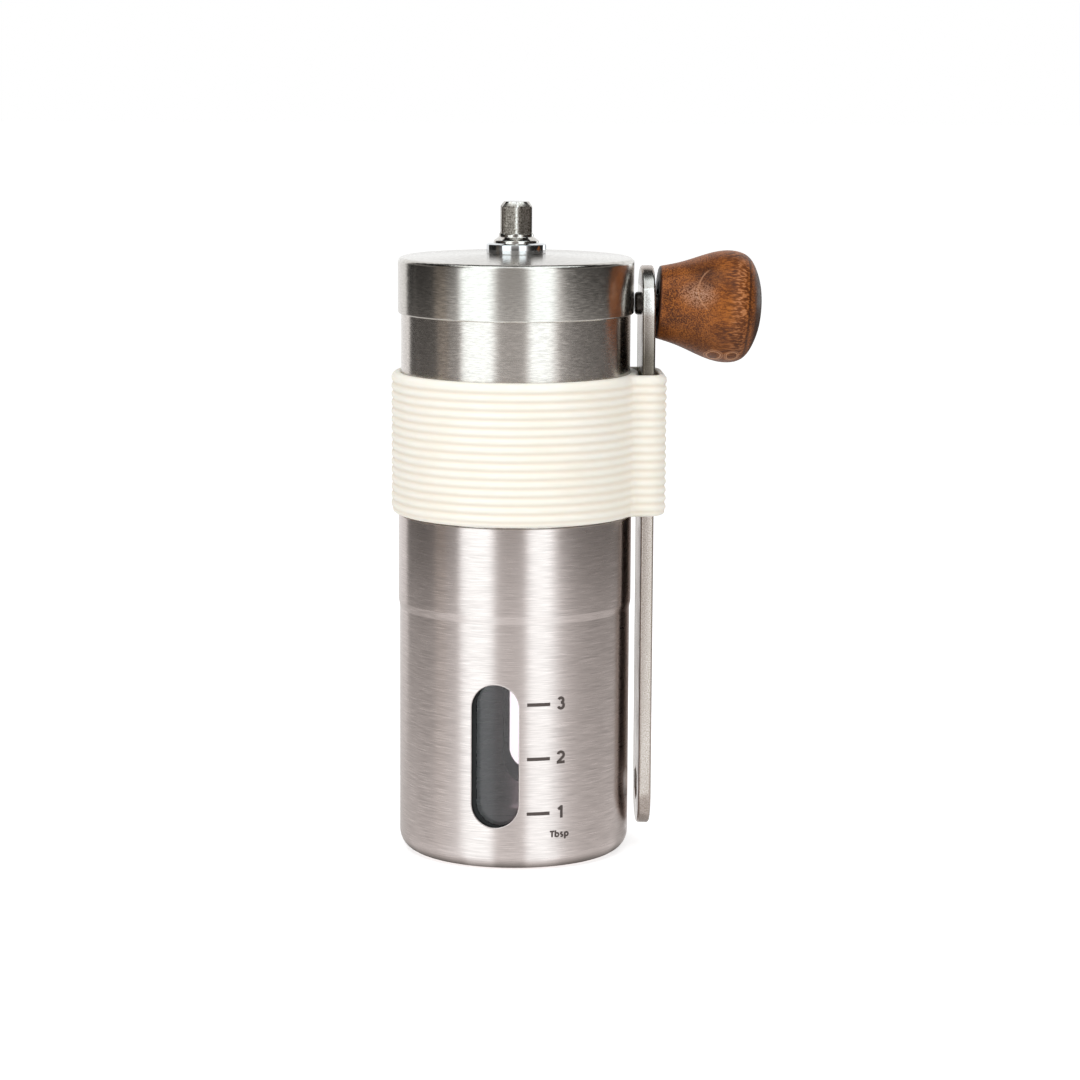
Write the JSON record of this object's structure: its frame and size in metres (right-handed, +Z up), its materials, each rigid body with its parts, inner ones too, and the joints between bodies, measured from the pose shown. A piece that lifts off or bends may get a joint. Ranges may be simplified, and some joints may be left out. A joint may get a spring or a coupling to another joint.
{
  "type": "manual coffee grinder",
  "caption": "Slim hand coffee grinder: steel tube mill over a windowed grounds cup, ribbed ivory sleeve holding the stowed crank with a wooden knob.",
  "frame": {"origin": "centre of the flat base of the grounds cup, on the axis of the tube", "axes": "+Z up along the axis of the tube, towards the drive head; +X towards the stowed crank"},
  "size_m": [0.0759, 0.051, 0.1344],
  "materials": {
    "cup_steel": "drawn stainless steel, brushed round",
    "liner_clear": "clear moulded plastic",
    "tube_steel": "stainless tube, brushed round",
    "sleeve_silicone": "ivory silicone rubber, satin",
    "bridge_black": "moulded black plastic",
    "housing_black": "moulded black plastic",
    "bush_bronze": "sintered bronze",
    "ceramic_white": "fired white ceramic",
    "bright_steel": "plated steel",
    "lid_steel": "drawn stainless steel, satin top",
    "lid_black": "moulded black plastic",
    "collar_chrome": "polished chrome",
    "shaft_steel": "ground steel",
    "spring_steel": "drawn spring wire",
    "driver_grey": "moulded grey plastic",
    "nut_white": "moulded white plastic",
    "crank_steel": "tumbled stainless bar",
    "axle_steel": "turned steel",
    "knob_wood": "stained beech, semi-gloss lacquer",
    "knob_nylon": "nylon"
  },
  "bodies": {
    "cup": {"grounds_cup": "cup_steel", "cup_liner": "liner_clear"},
    "mill": {"hopper_tube": "tube_steel", "grip_sleeve": "sleeve_silicone", "upper_bridge": "bridge_black", "upper_bush": "bush_bronze", "burr_housing": "housing_black", "lower_bush": "bush_bronze", "outer_burr": "ceramic_white", "burr_retainer": "bright_steel", "retainer_screws": "bright_steel"},
    "lid": {"lid_cap": "lid_steel", "lid_liner": "lid_black", "lid_collar": "collar_chrome"},
    "shaft": {"drive_shaft": "shaft_steel", "thrust_washer": "bright_steel", "retaining_ring": "spring_steel", "spring_washer": "bright_steel", "burr_spring": "spring_steel"},
    "burr": {"inner_burr": "ceramic_white", "burr_driver": "driver_grey", "click_plate": "bright_steel"},
    "adjuster": {"adjust_nut": "nut_white"},
    "crank": {"crank_arm": "crank_steel", "knob_axle": "axle_steel", "knob_washer": "knob_nylon"},
    "knob": {"knob": "knob_wood", "knob_sleeve": "knob_nylon"}
  },
  "joints": [
    {"name": "mill_lift", "type": "slide", "parent": "cup", "child": "mill", "axis": [0, 0, 1], "range_m": [0, 0.045]},
    {"name": "lid_lift", "type": "slide", "parent": "mill", "child": "lid", "axis": [0, 0, 1], "range_m": [0, 0.03]},
    {"name": "shaft_spin", "type": "hinge", "parent": "mill", "child": "shaft", "pos_m": [0, 0, 0.1], "axis": [0, 0, 1], "continuous": true},
    {"name": "burr_height", "type": "slide", "parent": "shaft", "child": "burr", "axis": [0, 0, 1], "range_m": [-0.0012, 0.0004], "deforming": ["burr_spring"]},
    {"name": "adjuster_turn", "type": "hinge", "parent": "burr", "child": "adjuster", "pos_m": [0, 0, 0.058], "axis": [0, 0, 1], "range_deg": [-545, 185]},
    {"name": "crank_slide", "type": "slide", "parent": "mill", "child": "crank", "axis": [0, 0, 1], "range_m": [-0.003, 0.105]},
    {"name": "knob_spin", "type": "hinge", "parent": "crank", "child": "knob", "pos_m": [0.03305, 0, 0.1136], "axis": [0.998, 0, -0.0628], "continuous": true}
  ],
  "couplings": [
    {"joint": "adjuster_turn", "follows": "burr_height", "rad_per_m": 7854}
  ]
}
